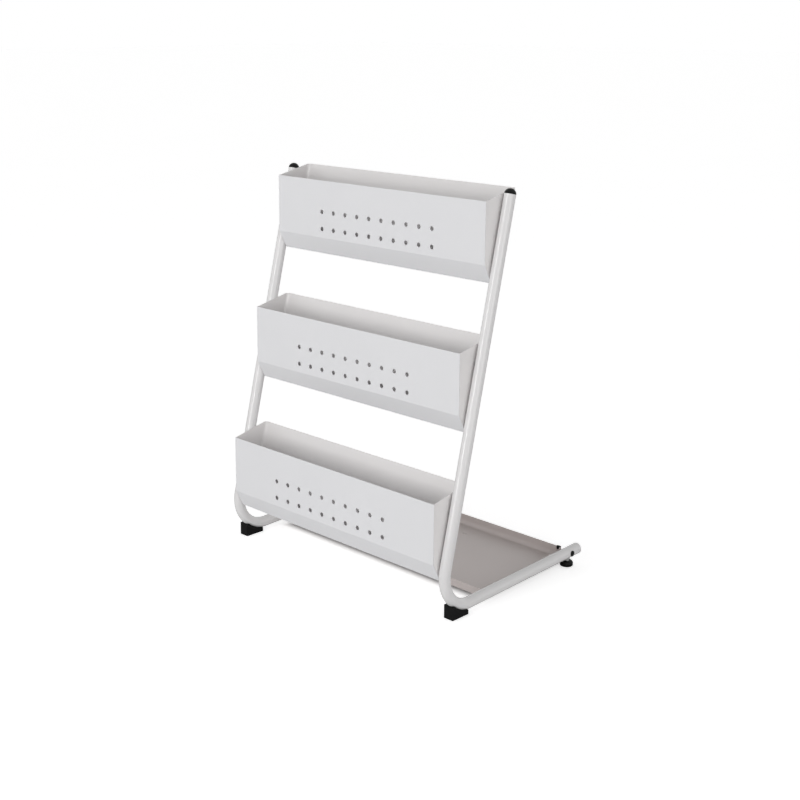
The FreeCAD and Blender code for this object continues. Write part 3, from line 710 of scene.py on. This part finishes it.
SCREW_RADIUS = 2.5
SCREW_LENGTH = 12.0
HEAD_RADIUS = 4.5
HEAD_HEIGHT = 2.6
HEAD_RIM = 0.5
HEAD_STEPS = 8
KEY_RADIUS = 1.7
KEY_DEPTH = 1.5
POCKET_DROP = 9.0
POCKET_SPACING = (UPRIGHT_LENGTH - POCKET_DROP - LOWEST_LEVEL) / (len(PLACE_BY_POCKET) - 1)
SCREW_DROP = 25.0
SCREW_GAP = 80.0
TRAY_SCREW_INSET = 35.0

ZINC_TONES = ((0.50, 0.51, 0.52), (0.64, 0.64, 0.62))
ZINC_ROUGHNESS = (0.25, 0.45)
ZINC_CLOUD_SCALE = 300.0
ZINC_CLOUD_DETAIL = 4.0


def key_wall(angle):
    """Distance from the axis to the wall of a hexagon socket."""
    flat = KEY_RADIUS * cos(pi / 6)
    return flat / cos((angle + pi / 6) % (pi / 3) - pi / 6)


def add_screw(build, sign, along):
    """A screw with its head on the inner face of a panel, pointing at the tube beyond it."""
    rounding = dome(HEAD_RADIUS, HEAD_HEIGHT - HEAD_RIM, HEAD_RIM, HEAD_STEPS)
    crown = [(radius, height) for radius, height in rounding if radius > KEY_RADIUS + NEAR]
    profile = [(SCREW_RADIUS, -SCREW_LENGTH), (SCREW_RADIUS, 0), (HEAD_RADIUS, 0)] + crown
    profile += [(key_wall, crown[-1][1]), (key_wall, HEAD_HEIGHT - KEY_DEPTH)]
    turned(build, profile, (sign * (PANEL_X - SHEET), *along), (-sign, 0, 0))


def make_pocket_screws(name, index, material):
    """A pocket's four screws, two a side."""
    build = bmesh.new()
    level = UPRIGHT_LENGTH - POCKET_DROP - index * POCKET_SPACING
    for sign in SIDES.values():
        for drop in (SCREW_DROP, SCREW_DROP + SCREW_GAP):
            add_screw(build, sign, on_upright(level - drop))
    make_piece(f"{name}_screws", build, material, "rack", f"{name}_pocket_screws")


def make_tray_screws(material):
    """The tray's four screws, two a side."""
    build = bmesh.new()
    for sign in SIDES.values():
        for inset in (TRAY_SCREW_INSET, TRAY_LENGTH - TRAY_SCREW_INSET):
            add_screw(build, sign, on_leg(TRAY_FRONT + inset))
    make_piece("tray_screw_set", build, material, "rack", "tray_screws")


def paint_nodes(material, names):
    """Give CAD nodes that are shown as they are a finish in all their material slots."""
    for name in names:
        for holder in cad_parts[name].material_slots:
            holder.material = material


ZINC = mottled("Zinc plating", ZINC_TONES, ZINC_ROUGHNESS, ZINC_CLOUD_SCALE, ZINC_CLOUD_DETAIL)
ZINC.node_tree.nodes["Principled BSDF"].inputs["Metallic"].default_value = 1.0

for index, name in enumerate(PLACE_BY_POCKET):
    make_pocket_screws(name, index, ZINC)
make_tray_screws(ZINC)
paint_nodes(ZINC, [f"{side}_{part}" for side in SIDES
                   for part in ("rivet_nuts", "front_foot_screw", "foot_boss")])


# ---------------------------------------------------------------------------
# Tray clips
# Short black clips, moulded in polypropylene, are pushed over the two ends of
# the tray's rear flange, where the cut corners of the sheet are sharp.
# ---------------------------------------------------------------------------

CLIP_EDGE = 0.3


def soften_node(name, width):
    """Join the loose faces of a CAD node that is shown as it is, and break its edges.

    The shortest edges of such a mesh are finer than the rounding, so they can't limit it.
    """
    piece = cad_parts[name]
    piece.modifiers.new("joined", "WELD").merge_threshold = NEAR * MM
    round_edges(piece, width)
    piece.modifiers["edges"].use_clamp_overlap = False


for side in SIDES:
    paint_nodes(PLASTIC, [f"{side}_tray_edge_clip"])
    soften_node(f"{side}_tray_edge_clip", CLIP_EDGE)


# ---------------------------------------------------------------------------
# Front feet
# Wedges of black rubber that cradle the bends of the tubes. Each is held by one
# countersunk screw, driven up into the tube from a well in its underside.
# ---------------------------------------------------------------------------

FOOT_EDGE = 0.6

RUBBER_TONES = ((0.002, 0.002, 0.002), (0.005, 0.005, 0.005))
RUBBER_ROUGHNESS = (0.55, 0.7)
RUBBER_GRAIN_SCALE = 600.0

RUBBER = moulded("Black rubber", RUBBER_TONES, RUBBER_ROUGHNESS, RUBBER_GRAIN_SCALE)

for side in SIDES:
    paint_nodes(RUBBER, [f"{side}_front_foot"])
    soften_node(f"{side}_front_foot", FOOT_EDGE)


# ---------------------------------------------------------------------------
# Rear feet
# Round glides moulded round the ends of zinc-plated M8 studs. A stud turns in a
# boss welded into the underside of the leg, and so sets the foot's height.
# ---------------------------------------------------------------------------

GLIDE_SETBACK = 30.5
GLIDE_Y = on_leg(LEG_RUN - GLIDE_SETBACK)[0]
GLIDE_RADIUS = 12.0
GLIDE_HEIGHT = 9.5
BASE_EDGE = 2.0
TOP_EDGE = 4.0
GLIDE_EDGE_STEPS = 6
STUD_RADIUS = 4.0
STUD_LENGTH = 23.0
STUD_SEAT = 3.5
THREAD_PITCH = 1.25
THREAD_DEPTH = 0.68
THREAD_CORE = STUD_RADIUS - THREAD_DEPTH
RINGS_PER_PITCH = 8
STUD_RINGS = round(STUD_LENGTH / THREAD_PITCH * RINGS_PER_PITCH)


def quarter_round(edge, level, start):
    """Profile points (radius, height) of a rounded edge of the glide, its arc about a level."""
    turns = [start + pi / 2 * step / GLIDE_EDGE_STEPS for step in range(GLIDE_EDGE_STEPS + 1)]
    return [(GLIDE_RADIUS - edge + edge * cos(turn), level + edge * sin(turn)) for turn in turns]


def thread_wall(level):
    """The thread's distance from the axis at a level, as a function of the angle."""
    def reach(angle):
        phase = (level / THREAD_PITCH - angle / (2 * pi)) % 1
        return STUD_RADIUS - THREAD_DEPTH * (1 - abs(2 * phase - 1))
    return reach


def make_glide(side, sign, material):
    """The round foot, with a blind hole that holds the stud's end."""
    build = bmesh.new()
    profile = quarter_round(BASE_EDGE, BASE_EDGE, -pi / 2)
    profile += quarter_round(TOP_EDGE, GLIDE_HEIGHT - TOP_EDGE, 0)
    profile += [(STUD_RADIUS, GLIDE_HEIGHT), (STUD_RADIUS, STUD_SEAT)]
    turned(build, profile, (sign * SIDE_X, GLIDE_Y, 0), (0, 0, 1))
    make_piece(f"{side}_glide_foot", build, material, f"{side}_glide", f"{side}_rear_foot")


def make_stud(side, sign, material):
    """The stud, threaded over its whole length between two flat ends of the core's width."""
    build = bmesh.new()
    levels = [STUD_LENGTH * step / STUD_RINGS for step in range(1, STUD_RINGS)]
    thread = [(thread_wall(level), level) for level in levels]
    profile = [(THREAD_CORE, 0)] + thread + [(THREAD_CORE, STUD_LENGTH)]
    turned(build, profile, (sign * SIDE_X, GLIDE_Y, STUD_SEAT), (0, 0, 1))
    make_piece(f"{side}_stud", build, material, f"{side}_glide", f"{side}_foot_stud")


for side, sign in SIDES.items():
    make_glide(side, sign, PLASTIC)
    make_stud(side, sign, ZINC)


# ---------------------------------------------------------------------------
# Floor, light and camera
# The rack stands on a wide white floor in soft light from all round, weak from above.
# A tall lamp in front and a wide one at its right draw the streaks along the tubes.
# Places and sizes in this section are metres.
# ---------------------------------------------------------------------------

FLOOR_REACH = 30.0
FLOOR_TONES = ((0.84, 0.84, 0.84, 1.0), (0.86, 0.86, 0.86, 1.0))
FLOOR_CLOUD_SCALE = 1.5
FLOOR_GLOW = 0.6
SHADE_SIDE = 0.235
SHADE_FRONT = -0.06
SHADE_BACK = 0.17
SHADE_BLUR = 0.02
WHITE = (1.0, 1.0, 1.0, 1.0)
LIGHT_AT_HORIZON = 1.3
LIGHT_FROM_ABOVE = 0.05
LAMP_TARGET = Vector((0.0, 0.0, 0.35))
CAMERA_PLACE = (1.6599, -1.74844, 0.9885)
CAMERA_YAW = radians(44.789)
CAMERA_PITCH = radians(11.491)
CAMERA_ROLL = radians(0.123)
CAMERA_SHIFT = (0.0321, -0.1395)
LENS_MM = 61.4
SENSOR_MM = 36.0


def join_maximum(tree, values):
    """The largest of several values."""
    largest = values[0]
    for value in values[1:]:
        either = tree.nodes.new("ShaderNodeMath")
        either.operation = "MAXIMUM"
        tree.links.new(largest, either.inputs[0])
        tree.links.new(value, either.inputs[1])
        largest = either.outputs[0]
    return largest


def choose_shader(tree, factor, plain, other):
    """A mix of two shaders; the factor is a socket."""
    choice = tree.nodes.new("ShaderNodeMixShader")
    tree.links.new(factor, choice.inputs[0])
    tree.links.new(plain.outputs[0], choice.inputs[1])
    tree.links.new(other.outputs[0], choice.inputs[2])
    return choice


def glow_strength(tree):
    """Strength of the floor's lift: none under the tray, where the rack shades the floor."""
    place = tree.nodes.new("ShaderNodeTexCoord")
    axes = tree.nodes.new("ShaderNodeSeparateXYZ")
    tree.links.new(place.outputs["Object"], axes.inputs["Vector"])
    across = tree.nodes.new("ShaderNodeMath")
    across.operation = "ABSOLUTE"
    tree.links.new(axes.outputs["X"], across.inputs[0])
    ramps = []
    for value, start, end in ((axes.outputs["Y"], SHADE_FRONT, SHADE_FRONT - SHADE_BLUR),
                              (axes.outputs["Y"], SHADE_BACK, SHADE_BACK + SHADE_BLUR),
                              (across.outputs[0], SHADE_SIDE, SHADE_SIDE + SHADE_BLUR)):
        ramp = add_node(tree, "ShaderNodeMapRange", From_Min=start, From_Max=end,
                        To_Max=FLOOR_GLOW)
        tree.links.new(value, ramp.inputs["Value"])
        ramps.append(ramp.outputs["Result"])
    return join_maximum(tree, ramps)


def make_floor_finish():
    """Matt white. What the camera sees of it is lifted to white, and shadows stay."""
    material = bpy.data.materials.new("Floor")
    material.use_nodes = True
    tree = material.node_tree
    tree.nodes.clear()
    dark, light = FLOOR_TONES
    clouds = place_group(tree, MOTTLE, Scale=FLOOR_CLOUD_SCALE, Detail=2.0, Dark_Tone=dark,
                         Light_Tone=light)
    matt = tree.nodes.new("ShaderNodeBsdfDiffuse")
    tree.links.new(clouds.outputs["Color"], matt.inputs["Color"])
    glow = tree.nodes.new("ShaderNodeEmission")
    tree.links.new(glow_strength(tree), glow.inputs["Strength"])
    lifted = tree.nodes.new("ShaderNodeAddShader")
    tree.links.new(matt.outputs[0], lifted.inputs[0])
    tree.links.new(glow.outputs[0], lifted.inputs[1])
    path = tree.nodes.new("ShaderNodeLightPath")
    seen = choose_shader(tree, path.outputs["Is Camera Ray"], matt, lifted)
    result = tree.nodes.new("ShaderNodeOutputMaterial")
    tree.links.new(seen.outputs[0], result.inputs["Surface"])
    return material


def make_floor(material):
    """A flat floor, so wide that its edge is far behind the rack in every view."""
    build = bmesh.new()
    bmesh.ops.create_grid(build, x_segments=8, y_segments=8, size=FLOOR_REACH)
    mesh = bpy.data.meshes.new("floor")
    build.to_mesh(mesh)
    build.free()
    mesh.materials.append(material)
    floor = bpy.data.objects.new("floor", mesh)
    bpy.context.scene.collection.objects.link(floor)


def make_world():
    """Soft light, weaker from above; the camera and clear or shiny things see plain white."""
    world = bpy.data.worlds.new("World")
    bpy.context.scene.world = world
    world.use_nodes = True
    tree = world.node_tree
    tree.nodes.clear()
    place = tree.nodes.new("ShaderNodeTexCoord")
    height = tree.nodes.new("ShaderNodeSeparateXYZ")
    level = add_node(tree, "ShaderNodeMapRange", To_Min=LIGHT_AT_HORIZON,
                     To_Max=LIGHT_FROM_ABOVE)
    tree.links.new(place.outputs["Generated"], height.inputs["Vector"])
    tree.links.new(height.outputs["Z"], level.inputs["Value"])
    light = add_node(tree, "ShaderNodeBackground", Color=WHITE)
    tree.links.new(level.outputs["Result"], light.inputs["Strength"])
    white = add_node(tree, "ShaderNodeBackground", Color=WHITE, Strength=1.0)
    path = tree.nodes.new("ShaderNodeLightPath")
    rays = ("Is Camera Ray", "Is Glossy Ray", "Is Transmission Ray")
    factor = join_maximum(tree, [path.outputs[ray] for ray in rays])
    seen = choose_shader(tree, factor, light, white)
    result = tree.nodes.new("ShaderNodeOutputWorld")
    tree.links.new(seen.outputs[0], result.inputs["Surface"])


def add_lamp(name, place, width, height, power):
    """A rectangular studio light aimed at the middle of the rack."""
    lamp = bpy.data.lights.new(name, "AREA")
    lamp.shape = "RECTANGLE"
    lamp.size = width
    lamp.size_y = height
    lamp.energy = power
    holder = bpy.data.objects.new(name, lamp)
    holder.location = place
    holder.rotation_euler = (LAMP_TARGET - Vector(place)).to_track_quat("-Z", "Y").to_euler()
    bpy.context.scene.collection.objects.link(holder)


def make_camera():
    """A short telephoto lens off the rack's front right corner, a little above it."""
    flat = cos(CAMERA_PITCH)
    back = Vector((sin(CAMERA_YAW) * flat, -cos(CAMERA_YAW) * flat, sin(CAMERA_PITCH)))
    level = Vector((0, 0, 1)).cross(back).normalized()
    upright = back.cross(level)
    across = level * cos(CAMERA_ROLL) + upright * sin(CAMERA_ROLL)
    up = upright * cos(CAMERA_ROLL) - level * sin(CAMERA_ROLL)
    camera = bpy.data.cameras.new("Camera")
    camera.lens = LENS_MM
    camera.sensor_width = SENSOR_MM
    camera.shift_x, camera.shift_y = CAMERA_SHIFT
    holder = bpy.data.objects.new("Camera", camera)
    turn = Matrix((across, up, back)).transposed().to_4x4()
    holder.matrix_world = Matrix.Translation(CAMERA_PLACE) @ turn
    bpy.context.scene.collection.objects.link(holder)
    bpy.context.scene.camera = holder


make_floor(make_floor_finish())
make_world()
add_lamp("strip", place=(-0.1, -2.4, 0.9), width=0.5, height=1.4, power=15.0)
add_lamp("side", place=(2.3, -0.65, 0.35), width=1.2, height=1.4, power=7.0)
make_camera()
bpy.context.scene.view_settings.view_transform = "Standard"
